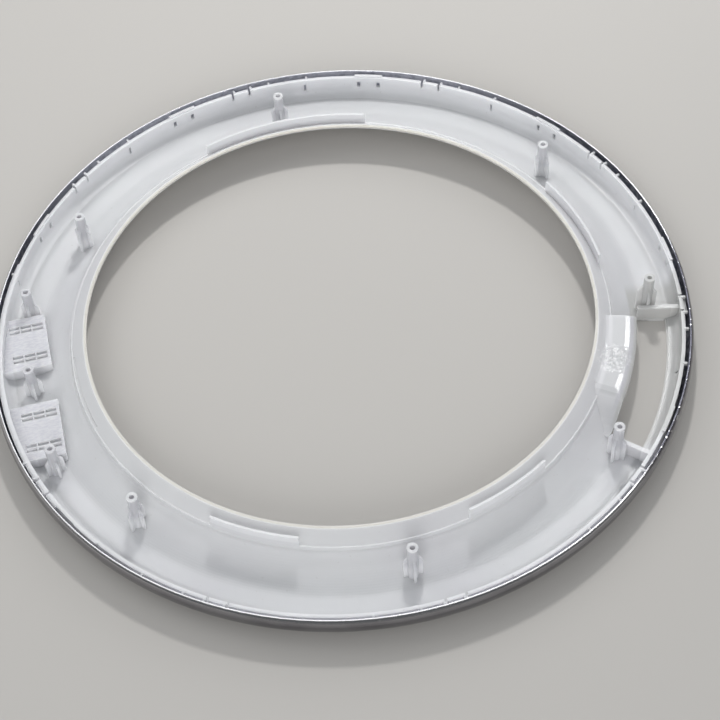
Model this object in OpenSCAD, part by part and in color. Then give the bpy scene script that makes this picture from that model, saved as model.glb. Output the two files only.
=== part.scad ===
// Washing machine door frame: a dished white ring with a handle opening, seen from its
// back, and the bright trim ring round its rim. Sizes are in mm. The ring's axis is the
// Z axis, the front face lies on Z = 0, the hinge side is at -X and the handle at +X.

/* [Central opening] */
// Radius of the central opening
opening_r = 174.8; // [168:0.2:178]
// Height of the lip round the opening
lip_h = 25.1; // [23:0.1:28]
// Width of the flat top of the lip
lip_w = 2.4; // [1.6:0.1:4]
// Thickness of the lip
lip_t = 2; // [1.2:0.1:2.6]
// Radial run of the sloping neck outside the lip
neck_run = 8.2; // [6:0.1:10]
// Wall thickness of the neck
neck_t = 2.2; // [1.6:0.1:2.8]

/* [Dished floor] */
// Thickness of the moulding's floor
floor_t = 2.6; // [2:0.1:3.4]
// Height of the step round the foot of the neck
step_h = 18; // [16.5:0.1:19.5]
// Width of the flat top of that step
step_w = 0.9; // [0.6:0.1:1.6]
// Drop of the step's outer face
step_drop = 2.8; // [1.6:0.1:3.4]
// Radial run of the step's outer face
step_run = 0.7; // [0.4:0.1:1.1]
// Radial run of the slope from the step's foot to the floor's curve
foot_run = 1.4; // [0.9:0.1:2]
// Rise of the floor from the flat part to the step's foot
dish_rise = 11.8; // [10:0.1:12.4]
// Radius of the curve that the floor rises on
dish_radius = 33; // [28:0.5:38]

/* [Outer wall] */
// Outer radius of the wall
wall_r = 236; // [233:0.2:242]
// Height of the wall
wall_h = 18.6; // [17.5:0.1:20]
// Thickness of the wall
wall_t = 2.5; // [1.8:0.1:3.2]
// Radius of the curve between floor and wall
foot_radius = 6.5; // [5:0.1:7.5]
// Extra thickness outside the wall at the hinge side
hinge_wall_t = 1.2; // [0.6:0.1:1.8]
// Half of the angle over which the wall is thicker at the hinge side
hinge_wall_angle = 26.5; // [20:0.5:30]
// Height of the foot of the thicker wall
hinge_wall_foot = 9.4; // [8:0.1:11]
// Drop of the thicker wall's top below the top of the wall
hinge_wall_drop = 0.3; // [0.2:0.1:1]
// Radial run of the moulding's outer corner
corner_run = 7; // [6:0.1:8]

/* [Trim ring] */
// Sheet thickness of the trim ring
trim_t = 1.3; // [0.8:0.1:1.6]
// Gap between the outer wall and the widest part of the trim, inside
groove_w = 4.4; // [3.8:0.1:5.5]
// Height of the widest part of the trim
trim_wide_h = 16; // [13:0.2:17]
// Height of the trim's top edge
trim_h = 21.2; // [20:0.1:23]
// Radial distance by which the top edge leans in
trim_turn = 1.85; // [1.2:0.05:2.4]
// Radius of the rounded corners of the top edge
edge_round = 0.35; // [0.1:0.05:0.38]
// Width of the trim's flat flange under the front face
flange_w = 4; // [2.5:0.1:6]
// Radial gap between the flange and the moulding
flange_gap = 0.2; // [0.1:0.05:0.4]
// Gap between the trim's curve and the moulding's corner
corner_gap = 0.3; // [0.2:0.05:0.6]

/* [Rib arcs] */
// Height of the four tall rib arcs
arc_h = 27.5; // [25.5:0.1:30]
// Thickness of the rib arcs
arc_t = 1.6; // [1:0.1:2]
// Distance of the rib arcs inside the edge of the step
arc_inset = 0.6; // [0.4:0.1:1]
// Width of the groove at the foot of the neck at the hinge side
trough_w = 1.4; // [0.8:0.1:1.6]
// Depth of that groove
trough_d = 0.6; // [0.3:0.1:0.7]

/* [Screw bosses] */
// Outer diameter of a boss
boss_d = 7.2; // [6:0.1:8.4]
// Diameter of the screw hole in a boss
boss_hole_d = 3.4; // [2.4:0.1:4.2]
// Depth of the screw hole
boss_hole_depth = 22; // [12:0.5:25]
// Height of the seven tall bosses
boss_h = 36.2; // [34:0.1:40]
// Height of the three bosses at the hinge
hinge_boss_h = 30; // [27:0.1:33]
// Circle radius of the bosses round the ring
boss_circle = 203.5; // [201:0.1:206]
// Distance from the inner edge of the handle opening to its two bosses
handle_boss_in = 9.2; // [8.2:0.1:10.2]
// Angle from the far end of the handle opening to its boss
far_boss_angle = 2.5; // [2.2:0.1:3]
// Angle from the near end of the handle opening to its boss
near_boss_angle = 2; // [1.8:0.1:3]
// Distance from the wall to the middle hinge boss
hinge_mid_in = 18.5; // [16:0.1:21]
// Distance from the wall to the outer hinge bosses
hinge_side_in = 14; // [12.5:0.1:17]
// Angle of the outer hinge bosses from the middle one
hinge_side_angle = 18; // [17:0.1:19]
// Reach of a boss rib from the middle of the boss
fin_reach = 6.3; // [5.4:0.1:7]
// Thickness of a boss rib
fin_t = 1.8; // [1.2:0.1:2.4]
// Distance from the top of a boss down to the ends of its ribs
fin_drop = 16; // [13:0.5:19]
// Height of the sloping top of a boss rib
fin_slope = 4.5; // [2:0.1:7]
// Distance from the top of the far handle boss down to the inner end of its web
web_drop = 13; // [10:0.5:15]

/* [Handle] */
// Angle from the hinge line to the middle of the handle opening
handle_mid = 28.2; // [26:0.1:30]
// Half of the angle that the handle opening takes up
handle_half = 15.1; // [14.6:0.1:15.6]
// Width of the handle opening
handle_w = 22.7; // [21:0.1:23.6]
// Width of the grip bar between the opening and the outside of the wall
grip_w = 10; // [9.4:0.1:11]
// Height of the two end walls
end_wall_h = 13.6; // [11:0.1:16]
// Thickness of the two end walls
end_wall_t = 3; // [2:0.1:3.6]
// Distance from the inner edge of the opening to the end walls
end_wall_in = 2; // [0.5:0.1:4]
// Width of the ledge between the opening and each end wall
end_wall_ledge = 0.3; // [0.2:0.1:1]
// Height of the back of the finger scoop
scoop_h = 20.8; // [19.5:0.1:21.4]
// Sheet thickness of the finger scoop
scoop_t = 2.4; // [1.8:0.1:2.8]
// Run of the rounded edge of the scoop
scoop_round = 8; // [5:0.2:10]
// Drop of the rounded edge of the scoop
scoop_round_drop = 3.8; // [2:0.1:5]
// Run of the fillet between the neck and the scoop
scoop_fillet = 1.8; // [1:0.1:2.2]
// Run of the sloping back of the space under the scoop
scoop_back_run = 0.8; // [0.4:0.1:1.4]
// Angle from the far end wall to the scoop's end
scoop_start = 3.2; // [2.4:0.1:4.5]
// Angle from the far end wall to the start of the scoop's ramp
scoop_ramp_start = 21.4; // [19:0.1:22.4]
// Length of the scoop's ramp
ramp_l = 29; // [25:0.5:30]
// Height of the ramp's low end above the floor
ramp_end_h = 3.4; // [2.4:0.1:5]
// Diameter of the drain hole in the grip bar
drain_d = 1.9; // [1:0.1:2.4]
// Distance from the drain hole to the wall
drain_gap = 0.2; // [0.1:0.1:0.8]
// Angle from the middle of the handle opening to the drain hole
drain_angle = 3; // [0:0.5:8]

/* [Hinge pads] */
// Distance from the hinge line to the middle of a pad
pad_mid = 38; // [37:0.1:40]
// Length of a pad
pad_l = 45.5; // [40:0.5:48]
// Width of the pads, from the wall inwards
pad_w = 33.2; // [31.5:0.1:34.5]
// Height of the pads
pad_h = 11.5; // [10:0.1:13]
// Distance from the middle of a pad to each block of pockets
pocket_mid = 12.9; // [11:0.1:14]
// Length of a pocket
pocket_l = 7.2; // [5:0.1:7.6]
// Width of a pocket
pocket_w = 2.7; // [1.8:0.1:3.2]
// Depth of a pocket
pocket_d = 2.2; // [1:0.1:3]
// Rib left between two pockets
pocket_rib = 1; // [0.6:0.1:1.6]
// Margin between the pad's inner edge and the first pocket
pocket_margin = 2; // [1.2:0.1:3]

/* [Wall clips] */
// Angle between two groups of clips
clip_pitch = 36.3; // [36:0.1:36.6]
// Angle of the middle snap tab
snap_mid = -12.9; // [-14:0.1:-12]
// Width of a snap tab
snap_w = 11.6; // [9:0.1:13]
// Width of the slits beside a snap tab
slit_w = 1.7; // [1:0.1:2.2]
// Depth of the slits below the wall's top
slit_d = 5.6; // [4:0.1:7]
// Height of the top of the hook on a snap tab
hook_h = 16.2; // [15:0.1:17]
// Height of that hook
hook_tall = 4; // [2:0.1:5]
// Reach of hooks and nibs into the groove
hook_reach = 2.2; // [1:0.1:2.4]
// Width of the nibs beside the slits
nib_w = 1.5; // [1:0.1:2]
// Height of the nibs
nib_tall = 2; // [1:0.1:3]
// Rise of the nibs above the wall
nib_rise = 0.4; // [0.1:0.1:1]
// Distance from the middle of a snap tab to the nib that stands by itself
nib_far = 22.7; // [20:0.1:25]
// Angle of the middle latch window
window_mid = -1; // [-1.6:0.1:0]
// Spacing of the two openings of a latch window
window_spacing = 15; // [12:0.1:16]
// Width of a window opening
window_w = 2.5; // [1.5:0.1:3]
// Height of a window opening
window_tall = 5.2; // [3:0.1:6]
// Height of the top of a window opening
window_h = 14.4; // [13.4:0.1:15]
// Rise of the cap over a latch window above the wall
window_rise = 1; // [0.5:0.1:2]
// Thickness of that cap
cap_t = 2; // [1.4:0.1:2.4]
// Reach of the cap outside the wall
cap_reach = 0.6; // [0.3:0.1:1.2]
// Distance from a window's openings to the edges of its cap
cap_margin = 2; // [1:0.1:3]
// Height of the cap's foot above a window's openings
cap_foot = 0.6; // [0.3:0.1:1.4]
// Angle of the middle single slot
slot_mid = 11.1; // [10.4:0.1:12]
// Width of a single slot
slot_w = 1.6; // [1:0.1:2.2]
// Height of a single slot
slot_tall = 6.4; // [4:0.1:8]

/* [Hidden] */
$fn = 96;
e = 0.01;
far = 400;
// How far a cut runs past what it cuts, and how deep joined features run into each other
over = 1;
bite = 1;

// Angles of the screw bosses round the ring, spans of the rib arcs, and span of the groove
boss_angles = [143, 90, 29.8, -90.3, -143];
arc_spans = [[71.1, 109.2], [-1.2, 23], [-77.1, -58.2], [-129.2, -111]];
trough_span = [176.5, 196];

// Neck and step
neck_r = opening_r + lip_w + neck_run;
neck_fall = lip_h - step_h;
neck_slope = neck_fall / neck_run;
neck_len = sqrt(neck_run * neck_run + neck_fall * neck_fall);
neck_under_r = neck_r - neck_t * neck_fall / neck_len;
neck_under_z = step_h - neck_t * neck_run / neck_len;
lip_under_r = neck_under_r - (lip_h - lip_t - neck_under_z) / neck_slope;
step_r = neck_r + step_w;
step_foot_r = step_r + step_run;
step_foot_z = step_h - step_drop;
arc_r = neck_r - arc_inset;

// Floor curve: centre over the flat part of the floor
dish_angle = acos(1 - dish_rise / dish_radius);
dish_cr = step_foot_r + foot_run + dish_radius * sin(dish_angle);
dish_cz = floor_t + dish_radius;
dish_under = dish_radius + floor_t;
dish_steps = 16;

// Wall and its corner round the trim
wall_in = wall_r - wall_t;
foot_cr = wall_in - foot_radius;
foot_cz = floor_t + foot_radius;
curve_steps = 8;

// Trim ring: its lower and upper curves outside and the same ones inside
trim_out = wall_r + groove_w + trim_t;
trim_flat_r = wall_r - corner_run;
curve_w = trim_out - trim_flat_r;
flange_r = trim_flat_r - flange_w;
seat_r = flange_r - flange_gap;
top_angle = 40;
top_steps = 6;
top_out = trim_out - trim_turn;
top_w = trim_turn / (1 - cos(top_angle));
top_cr = trim_out - top_w;
edge_z = trim_h - edge_round;
edge_steps = 4;
edge_turn = 90 / edge_steps;
top_rise = (edge_z - trim_wide_h) / sin(top_angle);
corner_w = curve_w - trim_t - corner_gap;
corner_rise = trim_wide_h - trim_t;
corner_angle = acos(corner_run / corner_w);
trim_steps = 14;

// Bosses and their ribs
fin_rise = fin_slope * (1 + bite / (fin_reach - boss_d / 2));
hinge_mid_r = wall_in - hinge_mid_in;
hinge_side_r = wall_in - hinge_side_in;

// Handle opening and scoop
hole_far = -handle_mid + handle_half;
hole_near = -handle_mid - handle_half;
hole_out = wall_r - grip_w;
hole_in = hole_out - handle_w;
handle_boss_r = hole_in + handle_boss_in;
end_wall_r = hole_in + end_wall_in;
end_wall_angle = turn(end_wall_t, hole_out);
ledge_angle = turn(end_wall_ledge, hole_out);
scoop_far = hole_far - scoop_start;
scoop_ramp = hole_far - scoop_ramp_start;
scoop_end_angle = turn(scoop_t, hole_in);
scoop_root_r = neck_r - (scoop_h - step_h) / neck_slope;
scoop_top_r = hole_in - scoop_round;

// Hinge pads and wall clips
pad_x = wall_in - pad_w;
snap_half = (snap_w + slit_w) / 2;
cap_angle = turn(window_spacing / 2 + window_w / 2 + cap_margin, wall_r);
clip_turns = [-4, -3, -2, -1, 0, 1, 2, 3, 4];

// Angle that a length takes up at a radius
function turn(length, r) = length / r * 180 / PI;

// A point on an ellipse, in the plane of the section
function on(cr, cz, a, b, t) = [cr + a * cos(t), cz + b * sin(t)];

// Points on an ellipse between two angles
function bow(cr, cz, a, b, t0, t1, steps) = [for (i = [0 : steps])
    on(cr, cz, a, b, t0 + (t1 - t0) * i / steps)];

// Upper side of the moulding from the lip to the wall
function upper() = concat(
    [[opening_r, lip_h], [opening_r + lip_w, lip_h], [neck_r, step_h], [step_r, step_h]],
    [[step_foot_r, step_foot_z]],
    bow(dish_cr, dish_cz, dish_radius, dish_radius, -90 - dish_angle, -90, dish_steps),
    bow(foot_cr, foot_cz, foot_radius, foot_radius, -90, 0, curve_steps),
    [[wall_in, wall_h]]
);

// Under side of the moulding from the flat front face to the lip
function dish_lower() = bow(dish_cr, dish_cz, dish_under, dish_under, -90, -90 - dish_angle, dish_steps);
function neck_lower() = [[neck_under_r, neck_under_z], [lip_under_r, lip_h - lip_t]];

// Corner that the trim's curve wraps, down to the flat seat of its flange
function corner() = concat(
    bow(trim_flat_r, trim_wide_h, corner_w, corner_rise - corner_gap, -corner_angle, -90, curve_steps),
    [[trim_flat_r, trim_t], [seat_r, trim_t]]
);

// Rounded corner of the trim's top edge
function trim_corner(cr, t0, t1) = bow(cr, edge_z, edge_round, edge_round, t0, t1, edge_steps - 1);

// Rounded edge of the finger scoop, lowered by a thickness
function scoop_edge(dz) =
    bow(scoop_top_r, scoop_h - scoop_round_drop - dz, scoop_round, scoop_round_drop, 90, 0, curve_steps);

// Fillet between the neck's slope and the flat top of the scoop
function scoop_root() = [
    [scoop_root_r - scoop_fillet, scoop_h + scoop_fillet * neck_slope],
    [scoop_root_r, scoop_h + scoop_fillet * neck_slope / 4],
    [scoop_root_r + scoop_fillet, scoop_h]
];

// Section of the finger scoop: its outside down to the front face, inside the neck's wall
function scoop_outside() = concat(
    [[neck_under_r, 0], [neck_under_r, neck_under_z], scoop_root()[0] - [0, bite]],
    scoop_root(),
    scoop_edge(0),
    [[hole_in, 0]]
);

// Section of the space under the finger scoop
function scoop_inside() = concat(
    [[neck_under_r, -over], [neck_under_r, neck_under_z]],
    [[neck_under_r + scoop_back_run, scoop_h - scoop_t]],
    scoop_edge(scoop_t),
    [[hole_in + over, scoop_h - scoop_round_drop - scoop_t], [hole_in + over, -over]]
);

// Top of the ramp at the near end of the scoop, along its length
ramp_low = floor_t + ramp_end_h;
function ramp_z(u) = ramp_low + (scoop_h - ramp_low) * (1 + cos(180 * u / ramp_l)) / 2;
function ramp_top() = [for (i = [0 : curve_steps])
    [ramp_l * i / curve_steps, ramp_z(ramp_l * i / curve_steps)]];

// Section turned through part of a circle, from angle a0 to a1
module sector(a0, a1) {
    rotate([0, 0, a0]) rotate_extrude(angle = a1 - a0, $fn = 180) children();
}

// Places a feature at an angle and radius, with its X axis pointing outwards
module at(angle, r) {
    rotate([0, 0, angle]) translate([r, 0, 0]) children();
}

// Block centred on X and Y, standing between two heights
module post(lx, ly, z0, z1) {
    translate([-lx / 2, -ly / 2, z0]) cube([lx, ly, z1 - z0]);
}

// The moulding's plain ring, solid down to the front face
module blank() {
    rotate_extrude($fn = 360)
        polygon(concat(upper(), [[wall_r, wall_h], [wall_r, 0], [opening_r, 0]]));
}

// Space in front of the dish and neck, which stays open
module front_space() {
    rotate_extrude($fn = 360)
        polygon(concat(
            [[opening_r - lip_w, -over], [dish_cr, -over]],
            dish_lower(),
            neck_lower(),
            [[opening_r - lip_w, lip_h - lip_t]]
        ));
}

// Space in front of the trim's seat
module seat_space() {
    rotate_extrude($fn = 360)
        polygon(concat(
            [[seat_r, -over]],
            [for (i = [len(corner()) - 1 : -1 : 0]) corner()[i]],
            [[wall_r + e, corner()[0][1]], [wall_r + e, -over]]
        ));
}

// One rib of a boss: a plate with sloping tops, along X
module fin(h, reach_in, reach_out, drop_in, drop_out) {
    rotate([90, 0, 0])
        translate([0, 0, -fin_t / 2])
            linear_extrude(fin_t)
                polygon([
                    [-reach_in, e], [reach_out, e],
                    [reach_out, h - drop_out], [boss_d / 2 - bite, h - drop_out + fin_rise],
                    [bite - boss_d / 2, h - drop_in + fin_rise], [-reach_in, h - drop_in]
                ]);
}

module boss(h) {
    translate([0, 0, e]) cylinder(h = h - e, d = boss_d, $fn = 48);
    for (a = [0, 90])
        rotate([0, 0, a]) fin(h, fin_reach, fin_reach, fin_drop, fin_drop);
}

module boss_hole(h) {
    translate([0, 0, h - boss_hole_depth])
        cylinder(h = boss_hole_depth + over, d = boss_hole_d, $fn = 48);
}

// The tall bosses and the hinge bosses in their places, as solids or as holes
module boss_places() {
    for (a = boss_angles) at(a, boss_circle) children(0);
    for (a = [hole_far + far_boss_angle, hole_near - near_boss_angle]) at(a, handle_boss_r) children(0);
    at(180, hinge_mid_r) children(1);
    for (s = [-1, 1]) at(180 + s * hinge_side_angle, hinge_side_r) children(1);
}

// Wide web that ties the far handle boss to the end of the opening
module handle_web() {
    at(hole_far + far_boss_angle, handle_boss_r)
        fin(boss_h, handle_boss_r - end_wall_r, fin_reach, web_drop, fin_drop);
}

module end_walls() {
    for (a = [hole_far + ledge_angle, hole_near - ledge_angle - end_wall_angle])
        sector(a, a + end_wall_angle)
            translate([end_wall_r, e])
                square([wall_in + bite - end_wall_r, end_wall_h - e]);
}

// Rib arcs on the step round the neck
module rib_arcs() {
    for (a = arc_spans)
        sector(a[0], a[1])
            translate([arc_r, step_h - bite]) square([arc_t, arc_h - step_h + bite]);
}

// Groove at the foot of the neck, at the hinge side
module trough() {
    sector(trough_span[0], trough_span[1])
        translate([neck_r - trough_w, step_h - trough_d]) square([trough_w, lip_h]);
}

// A section of the scoop, turned from a_far to the ramp and then run straight down the ramp
module scoop_form(section, a_far, dz) {
    sector(scoop_ramp, a_far) polygon(section);
    at(scoop_ramp, 0)
        intersection() {
            translate([0, bite, 0]) rotate([90, 0, 0]) linear_extrude(ramp_l + bite) polygon(section);
            rotate([90, 0, -90])
                translate([0, 0, -far])
                    linear_extrude(far)
                        polygon(concat(
                            [[-bite, -2 * over], [-bite, scoop_h - dz]],
                            [for (p = ramp_top()) [p[0], p[1] - dz]],
                            [[ramp_l, -2 * over]]
                        ));
        }
}

// Hinge pads, and their blocks of pockets
module pads() {
    intersection() {
        for (s = [-1, 1])
            translate([-wall_r, s * pad_mid - pad_l / 2, e])
                cube([wall_r - pad_x, pad_l, pad_h - e]);
        cylinder(h = pad_h, r = wall_in + bite, $fn = 360);
    }
}

module pockets() {
    for (s = [-1, 1], t = [-1, 1], row = [-1, 1], col = [0 : 2])
        translate([
            -pad_x - pocket_margin - pocket_l - col * (pocket_l + pocket_rib),
            s * pad_mid + t * pocket_mid + row * (pocket_w + pocket_rib) / 2 - pocket_w / 2,
            pad_h - pocket_d
        ])
            cube([pocket_l, pocket_w, pocket_d + over]);
}

// Block that stands out of the wall by hook_reach, from z0 up to z1
module wall_block(angle, width, z0, z1) {
    at(angle, wall_r + (hook_reach - bite) / 2) post(hook_reach + bite, width, z0, z1);
}

module nib(angle) {
    wall_block(angle, nib_w, wall_h - nib_tall, wall_h + nib_rise);
}

// Hooks, nibs and window caps, repeated round the wall outside the hinge
module clip_solids() {
    for (k = clip_turns * clip_pitch) {
        wall_block(snap_mid + k, snap_w, hook_h - hook_tall, hook_h);
        for (y = [-snap_half - slit_w, snap_half - slit_w, -nib_far])
            nib(snap_mid + k + turn(y, wall_r));
        nib(slot_mid + k - turn(slot_w, wall_r));
        sector(window_mid + k - cap_angle, window_mid + k + cap_angle)
            translate([wall_r + cap_reach - cap_t, window_h + cap_foot])
                square([cap_t, wall_h + window_rise - window_h - cap_foot]);
    }
}

// Slits beside the snap tabs, window openings and single slots
module clip_cuts() {
    for (k = clip_turns * clip_pitch) {
        for (s = [-1, 1]) {
            at(snap_mid + k, wall_r)
                translate([0, s * snap_half, 0]) post(4 * wall_t, slit_w, wall_h - slit_d, 2 * wall_h);
            at(window_mid + k, wall_r)
                translate([0, s * window_spacing / 2, 0])
                    post(4 * wall_t, window_w, window_h - window_tall, window_h);
        }
        at(slot_mid + k, wall_r) post(4 * wall_t, slot_w, window_h - slot_tall, window_h);
    }
}

// Thicker part of the wall at the hinge side
module hinge_wall() {
    sector(180 - hinge_wall_angle, 180 + hinge_wall_angle)
        polygon([
            [wall_r - bite, hinge_wall_foot], [wall_r + hinge_wall_t, hinge_wall_foot + hinge_wall_t],
            [wall_r + hinge_wall_t, wall_h - hinge_wall_drop], [wall_r - bite, wall_h - hinge_wall_drop]
        ]);
}

module handle_hole() {
    sector(hole_near, hole_far)
        translate([hole_in, -over]) square([hole_out - hole_in, lip_h]);
}

module drain_hole() {
    at(drain_angle - handle_mid, wall_in - drain_gap - drain_d / 2)
        translate([0, 0, -over]) cylinder(h = step_h, d = drain_d, $fn = 32);
}

// The white moulding
module frame() {
    color([0.88, 0.89, 0.9])
        difference() {
            union() {
                blank();
                scoop_form(scoop_outside(), scoop_far, 0);
                boss_places() {
                    boss(boss_h);
                    boss(hinge_boss_h);
                }
                handle_web();
                end_walls();
                pads();
                rib_arcs();
                hinge_wall();
                clip_solids();
            }
            front_space();
            seat_space();
            scoop_form(scoop_inside(), scoop_far - scoop_end_angle, scoop_t);
            handle_hole();
            boss_places() {
                boss_hole(boss_h);
                boss_hole(hinge_boss_h);
            }
            pockets();
            clip_cuts();
            trough();
            drain_hole();
        }
}

// The bright trim ring that wraps the outer corner
module trim_ring() {
    color([0.55, 0.56, 0.58])
        rotate_extrude($fn = 360)
            polygon(concat(
                [[flange_r, 0]],
                bow(trim_flat_r, trim_wide_h, curve_w, trim_wide_h, -90, 0, trim_steps),
                bow(top_cr, trim_wide_h, top_w, top_rise, top_angle / top_steps, top_angle, top_steps - 1),
                trim_corner(top_out - edge_round, edge_turn, 90),
                trim_corner(top_out - trim_t + edge_round, 90, 180 - edge_turn),
                bow(top_cr - trim_t, trim_wide_h, top_w, top_rise,
                    top_angle, top_angle / top_steps, top_steps - 1),
                bow(trim_flat_r, trim_wide_h, curve_w - trim_t, corner_rise, 0, -90, trim_steps),
                [[flange_r, trim_t]]
            ));
}

frame();
trim_ring();
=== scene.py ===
"""The looks of the washing machine door frame: its two materials, soft studio light and camera."""

import math

import bpy
from mathutils import Matrix, Vector

# Lengths are in metres, and lamps in watts.

# Camera, at the photograph's viewing angle
ELEVATION = math.radians(52.9)
HEADING = math.radians(10.4)
ROLL = -0.0679
DISTANCE = 1.1613
TARGET = Vector((0.00644, -0.02861, 0.0))
LENS_MM = 84.15
SENSOR_MM = 36.0

# Each lamp is a name, a place, a diameter and a power.
# Matt lamps light the surfaces: a window that casts the clear shadows, and soft ones that fill them
MATT_LAMPS = [
    ("window", (0.287, 0.777, 1.129), 0.13, 7.0),
    ("soft_left", (-0.70, 0.45, 0.90), 0.9, 2.0),
    ("soft_right", (0.80, 1.05, 0.80), 0.9, 3.6),
    ("soft_front", (-0.60, -2.20, 1.15), 1.6, 22.0),
]
# Gloss lamps only show as highlights: the window's, a small one beside it, and the pale ceiling
GLOSS_LAMPS = [
    ("window_gloss", (0.349, 0.944, 1.370), 0.20, 2.2),
    ("side_gloss", (0.807, 0.675, 1.274), 0.35, 6.0),
    ("ceiling_gloss", (0.15, 1.20, 1.60), 1.6, 10.0),
]
SKY_STRENGTH = 0.42
SKY_GLOSS = 0.16
SKY_COLOUR = (0.93, 0.96, 1.0, 1)

FLOOR_SIZE = 14.0
FLOOR_COLOUR = (0.56, 0.54, 0.51, 1)
FLOOR_ROUGHNESS = 0.85

# Heights and radii of the moulding. The wall's foot is where the floor starts to curve up to it,
# and the slot's edge is the handle opening's outer edge, inside which the trim's flange shows.
OPENING_RADIUS = 0.1748
LIP_TOP = 0.0251
SCOOP_TOP = 0.0208
BOSS_TOP = 0.0362
PAD_TOP = 0.0115
WALL_FOOT = 0.2270
SLOT_EDGE = 0.2260

# Middles of round spots: pits and painted glints on the scoop, painted shade around the
# handle opening, and dark specks on the trim's top
PITS_AND_GLINT_SPOT = (0.1677, -0.0872, SCOOP_TOP)
HANDLE_SHADE_SPOT = (0.2120, -0.0900, 0.0100)
TOP_SPECK_SPOT = (0.2200, -0.0980, 0.0212)

# Zones. A pair is one edge of a zone: where it begins and where the zone is full. A zone with
# two pairs has an edge at either end. Z is height, R the radius from the ring's axis, UP and OUT
# how far the surface faces up and out from the axis, and SPAN the distance from a spot's middle.
LIP_Z = (LIP_TOP - 0.0019, LIP_TOP - 0.0007)
LIP_R = (OPENING_RADIUS + 0.0026, OPENING_RADIUS + 0.00104)
SCOOP_SHADE_Z = (SCOOP_TOP - 0.0023, SCOOP_TOP - 0.0008), (SCOOP_TOP + 0.0017, SCOOP_TOP + 0.0004)
SCOOP_SHADE_R = (0.1855, 0.1875), (0.2000, 0.1965)
PITS_AND_GLINT_SPAN = (0.015, 0.006)
POST_SHADE_Z = (0.0120, 0.0200), (BOSS_TOP - 0.0006, BOSS_TOP - 0.0012)
POST_SHADE_R = (0.1975, 0.1990), (WALL_FOOT - 0.0005, WALL_FOOT - 0.0015)
POST_TOP_Z = (BOSS_TOP - 0.0010, BOSS_TOP - 0.0002)
WALL_LIGHT_R = (WALL_FOOT, WALL_FOOT + 0.0015)
MATT_WALL_R = (WALL_FOOT - 0.0015, WALL_FOOT + 0.0025)
HANDLE_SHADE_SPAN = (0.076, 0.064)
HANDLE_SHADE_R = (0.2000, 0.2020)
PAD_Z = (PAD_TOP - 0.0006, PAD_TOP - 0.0002), (PAD_TOP + 0.0006, PAD_TOP + 0.0002)
PAD_X = (-0.198, -0.200)
PAD_UP = (0.8, 0.95)
TRIM_TOP_UP = (0.35, 0.75)
TRIM_INNER_OUT = (-0.1, -0.5)
TRIM_PAINTED_FLANK_X = (0.13, 0.22)
TOP_SPECK_SPAN = (0.125, 0.085)
FLANGE_R = (SLOT_EDGE + 0.0002, SLOT_EDGE - 0.0002)

# Noises: scale per metre, detail and roughness
CLOUD_NOISE = (9.0, 3.0, 0.5)
PAINTED_GLINT_NOISE = (330.0, 2.0, 0.5)
SCUFF_NOISE = (260.0, 4.0, 0.6)
DUST_NOISE = (420.0, 2.0, 0.5)
GLOSS_NOISE = (60.0, 4.0, 0.6)
WAVE_NOISE = (26.0, 1.0, 0.5)
PIT_NOISE = (520.0, 1.0, 0.5)
GRAIN_NOISE = (1500.0, 3.0, 0.5)
HAZE_NOISE = (35.0, 4.0, 0.5)
SPECK_NOISE = (480.0, 2.0, 0.5)
MOTTLE_NOISE = (210.0, 3.0, 0.6)
PLATE_NOISE = (140.0, 5.0, 0.65)
PLATE_WAVE_NOISE = (18.0, 1.0, 0.5)
LINE_NOISE = (900.0, 2.0, 0.5)

# The part of each noise that its marks blend over
CLOUD_EDGE = (0.35, 0.65)
PAINTED_GLINT_EDGE = (0.49, 0.60)
SCUFF_EDGE = (0.35, 0.65)
DUST_EDGE = (0.70, 0.76)
HAZE_EDGE = (0.4, 0.7)
SPECK_EDGE = (0.70, 0.62)
MOTTLE_EDGE = (0.42, 0.64)

# How the noises of scuffs and lines are squeezed along x, y and z
SCUFF_SQUEEZE = (1.0, 2.6, 1.0)
LINE_SQUEEZE = (1.0, 1.0, 6.0)

# Colours of the white plastic
BODY_LIGHT = (0.740, 0.745, 0.753, 1)
BODY_DARK = (0.706, 0.705, 0.722, 1)
LIP_CREAM = (0.68, 0.655, 0.59, 1)
# The scoop top's grey is painted shade that darkens its flat top.
SCOOP_PAINTED_SHADE = (0.60, 0.605, 0.615, 1)
# The scoop's white blotches are painted glints: a painted highlight on its pitted spot.
SCOOP_PAINTED_GLINT = (0.84, 0.84, 0.85, 1)
# The posts' grey is painted shade.
POST_PAINTED_SHADE = (0.60, 0.60, 0.625, 1)
# The wall's white is painted light that lightens the outer wall.
WALL_PAINTED_LIGHT = (0.84, 0.84, 0.86, 1)
# The handle opening's grey is painted shade over its far part.
HANDLE_PAINTED_SHADE = (0.585, 0.585, 0.575, 1)
SCUFF_DARK = (0.62, 0.62, 0.66, 1)
SCUFF_LIGHT = (0.72, 0.72, 0.74, 1)
DUST_GREY = (0.52, 0.50, 0.47, 1)
DUST_SHARE = 0.25

# Surface of the white plastic. A gloss is a noise's range, then the roughness at its two ends.
# A relief is a bump's distance and strength.
PLASTIC_GLOSS = (0.3, 0.7, 0.13, 0.20)
MATT_WALL_ROUGHER = 0.18
POST_TOP_ROUGHER = 0.35
WAVE_RELIEF = (0.0006, 0.12)
PIT_RELIEF = (0.0008, 1.0)
GRAIN_RELIEF = (0.00005, 0.15)
PLASTIC_IOR = 1.5
GLOW_SHARE = 0.85
GLOW_RADIUS = (0.0066, 0.0064, 0.0064)

# Colours of the plating. Ends are the ring's far and near ends, and flanks its left and right.
# The mirror's colours are darkened as painted shade, standing in for a dark floor's reflection.
MIRROR_PAINTED_SHADE_LIGHT = (0.30, 0.295, 0.31, 1)
MIRROR_PAINTED_SHADE_DARK = (0.23, 0.225, 0.24, 1)
TOP_SATIN = (0.66, 0.66, 0.67, 1)
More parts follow.
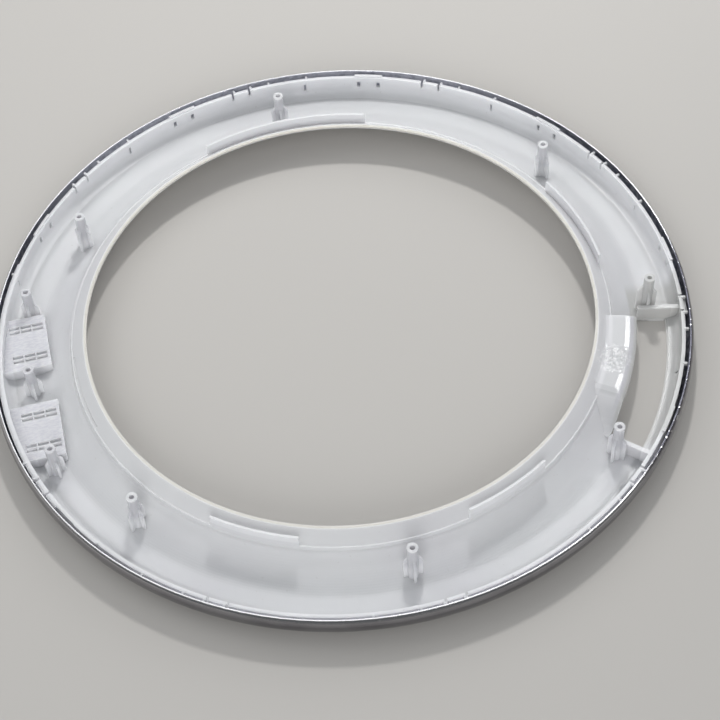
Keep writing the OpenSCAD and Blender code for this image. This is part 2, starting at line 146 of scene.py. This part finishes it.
# Dark specks over the satin top near the handle
TOP_SPECK_DARK = (0.05, 0.05, 0.06, 1)
# The inner side's colours are painted reflection and shade: lighter at the ends, darker at the flanks.
END_PAINTED_REFLECTION_LIGHT = (0.76, 0.77, 0.84, 1)
END_PAINTED_REFLECTION_DARK = (0.56, 0.57, 0.64, 1)
FLANK_PAINTED_SHADE_DARK = (0.13, 0.14, 0.18, 1)
FLANK_PAINTED_SHADE_LIGHT = (0.34, 0.35, 0.40, 1)
FLANGE_PALE = (0.66, 0.655, 0.64, 1)

# Surface of the plating
PLATE_GLOSS = (0.35, 0.75, 0.05, 0.15)
TOP_ROUGHER = 0.18
INNER_ROUGHER = 0.28
FLANGE_ROUGHER = 0.40
INNER_METAL = 0.35
PLATE_WAVE_RELIEF = (0.0010, 0.2)
LINE_RELIEF = (0.00002, 0.15)


class Graph:
    """Short calls for building a material's nodes."""

    def __init__(self, name):
        self.material = bpy.data.materials.new(name)
        self.material.use_nodes = True
        self.nodes = self.material.node_tree.nodes
        self.links = self.material.node_tree.links
        self.shader = self.nodes["Principled BSDF"]
        coordinates = self.nodes.new("ShaderNodeTexCoord")
        self.place = coordinates.outputs["Object"]
        self.normal = coordinates.outputs["Normal"]

    def link(self, source, target):
        self.links.new(source, target)

    def feed(self, socket, value):
        """Link a node's output to the socket, or set the socket to a plain value."""
        if isinstance(value, bpy.types.NodeSocket):
            self.link(value, socket)
        else:
            socket.default_value = value

    def shade(self, **values):
        """Feed the shader's inputs, named with _ for each space, and give back the material."""
        for name, value in values.items():
            self.feed(self.shader.inputs[name.replace("_", " ")], value)
        return self.material

    def noise(self, scale, detail, roughness, vector=None):
        node = self.nodes.new("ShaderNodeTexNoise")
        node.inputs["Scale"].default_value = scale
        node.inputs["Detail"].default_value = detail
        node.inputs["Roughness"].default_value = roughness
        self.link(vector or self.place, node.inputs["Vector"])
        return node.outputs["Fac"]

    def math(self, kind, a, b=0.0):
        node = self.nodes.new("ShaderNodeMath")
        node.operation = kind
        self.feed(node.inputs[0], a)
        self.feed(node.inputs[1], b)
        return node.outputs["Value"]

    def total(self, first, *others):
        for other in others:
            first = self.math("ADD", first, other)
        return first

    def product(self, first, *others):
        for other in others:
            first = self.math("MULTIPLY", first, other)
        return first

    def ramp(self, value, low, high, to_low=0.0, to_high=1.0):
        node = self.nodes.new("ShaderNodeMapRange")
        node.interpolation_type = "SMOOTHSTEP"
        self.feed(node.inputs["Value"], value)
        node.inputs["From Min"].default_value = low
        node.inputs["From Max"].default_value = high
        node.inputs["To Min"].default_value = to_low
        node.inputs["To Max"].default_value = to_high
        return node.outputs["Result"]

    def between(self, value, rise, fall):
        """1 in a zone with two edges."""
        return self.product(self.ramp(value, *rise), self.ramp(value, *fall))

    def mix(self, share, a, b):
        node = self.nodes.new("ShaderNodeMix")
        node.data_type = "RGBA"
        self.feed(node.inputs["Factor"], share)
        self.feed(node.inputs["A"], a)
        self.feed(node.inputs["B"], b)
        return node.outputs["Result"]

    def parts(self, vector):
        """The vector's x, y and z."""
        node = self.nodes.new("ShaderNodeSeparateXYZ")
        self.link(vector, node.inputs["Vector"])
        return node.outputs

    def squeezed(self, scale):
        node = self.nodes.new("ShaderNodeMapping")
        node.inputs["Scale"].default_value = scale
        self.link(self.place, node.inputs["Vector"])
        return node.outputs["Vector"]

    def bump(self, height, distance, strength, under=None):
        node = self.nodes.new("ShaderNodeBump")
        node.inputs["Strength"].default_value = strength
        node.inputs["Distance"].default_value = distance
        self.link(height, node.inputs["Height"])
        if under:
            self.link(under, node.inputs["Normal"])
        return node.outputs["Normal"]

    def radius(self):
        """Distance from the ring's axis."""
        x, y, _ = self.parts(self.place)
        return self.math("SQRT", self.total(self.product(x, x), self.product(y, y)))

    def away(self, point):
        """Distance from a point."""
        node = self.nodes.new("ShaderNodeVectorMath")
        node.operation = "DISTANCE"
        self.link(self.place, node.inputs[0])
        node.inputs[1].default_value = point
        return node.outputs["Value"]

    def facing(self):
        """How far the surface faces out from the ring's axis, from -1 to 1, and how far up."""
        x, y, _ = self.parts(self.place)
        normal_x, normal_y, up = self.parts(self.normal)
        along = self.total(self.product(x, normal_x), self.product(y, normal_y))
        return self.math("DIVIDE", along, self.radius()), up


def plastic_colour(g, pits_and_painted_glints):
    """Faint clouds under each zone's tint, with a little dust over all. The scoop's top, the
    bosses' posts and the handle opening carry painted shade, the wall painted light, and the
    scoop's white blotches painted glints.

    The last argument is 1 where the scoop has its pits and its painted glints.
    """
    x, _, height = g.parts(g.place)
    radius = g.radius()
    _, up = g.facing()
    scuffs = g.ramp(g.noise(*SCUFF_NOISE, g.squeezed(SCUFF_SQUEEZE)), *SCUFF_EDGE)
    lip = g.product(g.ramp(height, *LIP_Z), g.ramp(radius, *LIP_R))
    # Painted shade over the scoop's flat top
    scoop = g.product(g.between(height, *SCOOP_SHADE_Z), g.between(radius, *SCOOP_SHADE_R))
    # Painted shade on the bosses' posts
    posts = g.product(g.between(radius, *POST_SHADE_R), g.between(height, *POST_SHADE_Z))
    # Painted light on the outer wall
    wall = g.ramp(radius, *WALL_LIGHT_R)
    # Painted shade around the handle opening
    handle = g.product(g.ramp(g.away(HANDLE_SHADE_SPOT), *HANDLE_SHADE_SPAN), g.ramp(radius, *HANDLE_SHADE_R))
    # Painted glints in the scoop's pitted spot
    painted_glints = g.product(g.ramp(g.noise(*PAINTED_GLINT_NOISE), *PAINTED_GLINT_EDGE), pits_and_painted_glints)
    pads = g.product(g.between(height, *PAD_Z), g.ramp(up, *PAD_UP), g.ramp(x, *PAD_X))
    dust = g.product(g.ramp(g.noise(*DUST_NOISE), *DUST_EDGE), DUST_SHARE)
    colour = g.mix(g.ramp(g.noise(*CLOUD_NOISE), *CLOUD_EDGE), BODY_LIGHT, BODY_DARK)
    for share, tint in [
        (lip, LIP_CREAM),
        (scoop, SCOOP_PAINTED_SHADE),
        (posts, POST_PAINTED_SHADE),
        (wall, WALL_PAINTED_LIGHT),
        (handle, HANDLE_PAINTED_SHADE),
        (painted_glints, SCOOP_PAINTED_GLINT),
        (pads, g.mix(scuffs, SCUFF_DARK, SCUFF_LIGHT)),
        (dust, DUST_GREY),
    ]:
        colour = g.mix(share, colour, tint)
    return colour


def white_plastic():
    """Glossy moulded plastic that light sinks into, matt on the wall and on the bosses' tops."""
    g = Graph("white_plastic")
    pits_and_painted_glints = g.ramp(g.away(PITS_AND_GLINT_SPOT), *PITS_AND_GLINT_SPAN)
    matt_wall = g.ramp(g.radius(), *MATT_WALL_R)
    post_tops = g.ramp(g.parts(g.place)[2], *POST_TOP_Z)
    roughness = g.total(
        g.ramp(g.noise(*GLOSS_NOISE), *PLASTIC_GLOSS),
        g.product(matt_wall, MATT_WALL_ROUGHER),
        g.product(post_tops, POST_TOP_ROUGHER),
    )
    waves = g.bump(g.noise(*WAVE_NOISE), *WAVE_RELIEF)
    pits = g.bump(g.product(g.noise(*PIT_NOISE), pits_and_painted_glints), *PIT_RELIEF, under=waves)
    return g.shade(
        Base_Color=plastic_colour(g, pits_and_painted_glints),
        Roughness=roughness,
        Normal=g.bump(g.noise(*GRAIN_NOISE), *GRAIN_RELIEF, under=pits),
        IOR=PLASTIC_IOR,
        Subsurface_Weight=GLOW_SHARE,
        Subsurface_Radius=GLOW_RADIUS,
        Subsurface_Scale=1.0,
    )


def bright_trim():
    """Plated plastic: a mirror outside darkened with painted shade, a satin top with dark specks,
    a dull mottled inner side with painted reflection and shade, and a pale flange.
    """
    g = Graph("bright_trim")
    out, up = g.facing()
    top = g.ramp(up, *TRIM_TOP_UP)
    inner = g.ramp(out, *TRIM_INNER_OUT)
    painted_flank_share = g.ramp(g.math("ABSOLUTE", g.parts(g.place)[0]), *TRIM_PAINTED_FLANK_X)
    flange = g.ramp(g.radius(), *FLANGE_R)
    haze = g.ramp(g.noise(*HAZE_NOISE), *HAZE_EDGE)
    specks = g.ramp(g.noise(*SPECK_NOISE), *SPECK_EDGE)
    # Dark specks on the trim's top around a spot near the handle
    top_specks = g.product(g.ramp(g.away(TOP_SPECK_SPOT), *TOP_SPECK_SPAN), specks)
    mottle = g.ramp(g.noise(*MOTTLE_NOISE), *MOTTLE_EDGE)

    # Outside: the mirror darkened with painted shade, and the top with dark specks
    outside = g.mix(top, g.mix(haze, MIRROR_PAINTED_SHADE_LIGHT, MIRROR_PAINTED_SHADE_DARK), g.mix(top_specks, TOP_SATIN, TOP_SPECK_DARK))
    # Painted reflection at the inner side's ends and painted shade at its flanks
    ends = g.mix(mottle, END_PAINTED_REFLECTION_LIGHT, END_PAINTED_REFLECTION_DARK)
    flanks = g.mix(mottle, FLANK_PAINTED_SHADE_DARK, FLANK_PAINTED_SHADE_LIGHT)
    inside = g.mix(painted_flank_share, ends, flanks)
    roughness = g.total(
        g.ramp(g.noise(*PLATE_NOISE), *PLATE_GLOSS),
        g.product(top, TOP_ROUGHER),
        g.product(inner, INNER_ROUGHER),
        g.product(flange, FLANGE_ROUGHER),
    )
    metal = g.ramp(inner, 0.0, 1.0, 1.0, INNER_METAL)
    waves = g.bump(g.noise(*PLATE_WAVE_NOISE), *PLATE_WAVE_RELIEF)
    lines = g.noise(*LINE_NOISE, g.squeezed(LINE_SQUEEZE))
    return g.shade(
        Base_Color=g.mix(flange, g.mix(inner, outside, inside), FLANGE_PALE),
        Roughness=roughness,
        Metallic=g.product(metal, g.math("SUBTRACT", 1.0, flange)),
        Normal=g.bump(lines, *LINE_RELIEF, under=waves),
    )


def floor_paint():
    return Graph("floor_paint").shade(Base_Color=FLOOR_COLOUR, Roughness=FLOOR_ROUGHNESS)


def dress(node, material):
    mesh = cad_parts[node].data
    mesh.materials.clear()
    mesh.materials.append(material)


def make_floor():
    bpy.ops.mesh.primitive_plane_add(size=FLOOR_SIZE)
    floor = bpy.context.object
    floor.name = "floor"
    floor.data.materials.append(floor_paint())


def add_lamp(name, place, size, watts):
    """A round area lamp that faces the ring's centre."""
    data = bpy.data.lights.new(name, "AREA")
    data.shape = "DISK"
    data.size = size
    data.energy = watts
    lamp = bpy.data.objects.new(name, data)
    lamp.location = place
    lamp.rotation_mode = "QUATERNION"
    lamp.rotation_quaternion = Vector(place).to_track_quat("Z", "Y")
    bpy.context.collection.objects.link(lamp)
    return lamp


def make_sky():
    """An even pale sky, dimmer where it is mirrored, so that the lamps shape the highlights."""
    world = bpy.data.worlds.new("studio")
    world.use_nodes = True
    nodes = world.node_tree.nodes
    links = world.node_tree.links
    background = nodes["Background"]
    background.inputs["Color"].default_value = SKY_COLOUR
    strength = nodes.new("ShaderNodeMapRange")
    strength.inputs["To Min"].default_value = SKY_STRENGTH
    strength.inputs["To Max"].default_value = SKY_GLOSS
    ray = nodes.new("ShaderNodeLightPath")
    links.new(ray.outputs["Is Glossy Ray"], strength.inputs["Value"])
    links.new(strength.outputs["Result"], background.inputs["Strength"])
    bpy.context.scene.world = world


def make_light():
    make_sky()
    for lamp in MATT_LAMPS:
        add_lamp(*lamp).visible_glossy = False
    for lamp in GLOSS_LAMPS:
        add_lamp(*lamp).visible_diffuse = False


def make_camera():
    forward = Vector((
        math.cos(ELEVATION) * math.sin(HEADING),
        math.cos(ELEVATION) * math.cos(HEADING),
        -math.sin(ELEVATION),
    ))
    level = Vector((math.cos(HEADING), -math.sin(HEADING), 0.0))
    up = level.cross(forward)
    right = math.cos(ROLL) * level + math.sin(ROLL) * up
    top = math.cos(ROLL) * up - math.sin(ROLL) * level
    data = bpy.data.cameras.new("camera")
    data.lens = LENS_MM
    data.sensor_width = SENSOR_MM
    camera = bpy.data.objects.new("camera", data)
    turn = Matrix((right, top, -forward)).transposed().to_4x4()
    camera.matrix_world = Matrix.Translation(TARGET - DISTANCE * forward) @ turn
    bpy.context.collection.objects.link(camera)
    bpy.context.scene.camera = camera


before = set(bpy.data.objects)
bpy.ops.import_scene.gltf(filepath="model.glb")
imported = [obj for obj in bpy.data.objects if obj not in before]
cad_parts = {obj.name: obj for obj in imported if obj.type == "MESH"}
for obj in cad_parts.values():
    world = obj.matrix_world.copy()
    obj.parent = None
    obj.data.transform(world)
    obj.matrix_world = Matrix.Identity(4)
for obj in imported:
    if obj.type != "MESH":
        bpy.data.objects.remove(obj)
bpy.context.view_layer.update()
dress("frame", white_plastic())
dress("trim_ring", bright_trim())
make_floor()
make_light()
make_camera()
bpy.context.scene.view_settings.view_transform = "Standard"
